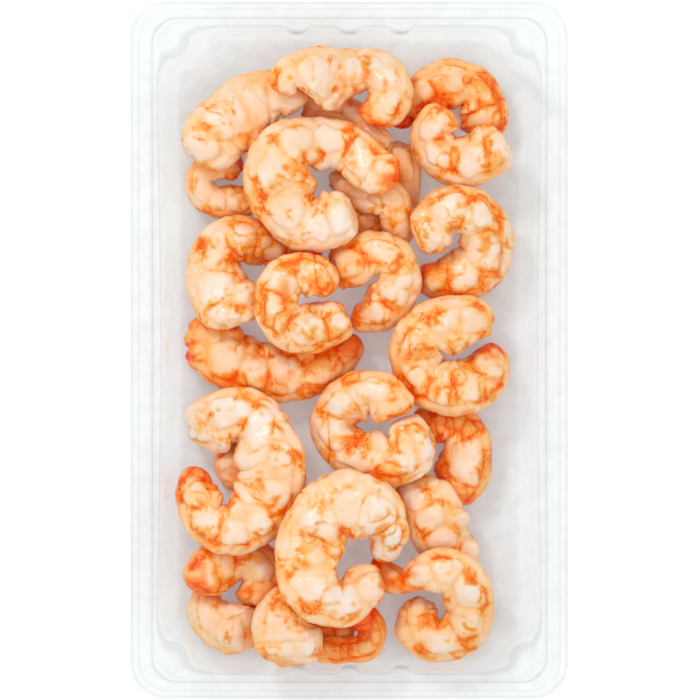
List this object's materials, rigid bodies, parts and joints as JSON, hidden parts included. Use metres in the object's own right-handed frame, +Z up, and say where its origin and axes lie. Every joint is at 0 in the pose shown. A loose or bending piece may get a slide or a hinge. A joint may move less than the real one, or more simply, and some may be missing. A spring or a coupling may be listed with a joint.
{
  "type": "tray of cooked peeled shrimp",
  "caption": "Clear rectangular food tray with rounded rim holding a heap of cooked, peeled, curled shrimp, tails off, pale with orange streaks.",
  "frame": {"origin": "under the middle of the tray's base, on the surface it stands on", "axes": "+X across the tray, +Y along its length, towards the top of the picture, +Z up"},
  "size_m": [0.1446, 0.23, 0.04],
  "materials": {
    "clear_plastic": "clear, glossy, thin formed sheet",
    "shrimp_pale": "wet, pale peach flesh with fine orange lines",
    "shrimp_orange": "wet, peach flesh with strong orange patches",
    "shrimp_red": "wet, red-orange flesh"
  },
  "bodies": {
    "root": {"tray": "clear_plastic", "shrimp_small_left": "shrimp_orange", "shrimp_middle_floor": "shrimp_orange", "shrimp_bottom_under": "shrimp_orange", "shrimp_left_under": "shrimp_pale", "shrimp_centre_upright": "shrimp_orange", "shrimp_top_under": "shrimp_pale", "shrimp_long_left": "shrimp_orange", "shrimp_top_left": "shrimp_pale", "shrimp_top_right_arch": "shrimp_orange", "shrimp_top_right_ring": "shrimp_pale", "shrimp_centre_under": "shrimp_orange", "shrimp_right_lower": "shrimp_orange", "shrimp_bottom_red": "shrimp_red", "shrimp_bottom_left_fan": "shrimp_pale", "shrimp_bottom_left_ring": "shrimp_orange", "shrimp_bottom_left_white": "shrimp_pale", "shrimp_lower_right_white": "shrimp_pale", "shrimp_bottom_right": "shrimp_pale", "shrimp_right_upper": "shrimp_pale", "shrimp_centre_ring": "shrimp_pale", "shrimp_left_middle": "shrimp_pale", "shrimp_right_middle": "shrimp_orange", "shrimp_left_large": "shrimp_pale", "shrimp_top_centre": "shrimp_pale", "shrimp_centre_lower": "shrimp_pale", "shrimp_upper_left_large": "shrimp_pale", "shrimp_centre_left_ring": "shrimp_pale", "shrimp_bottom_centre_large": "shrimp_pale"}
  },
  "joints": []
}
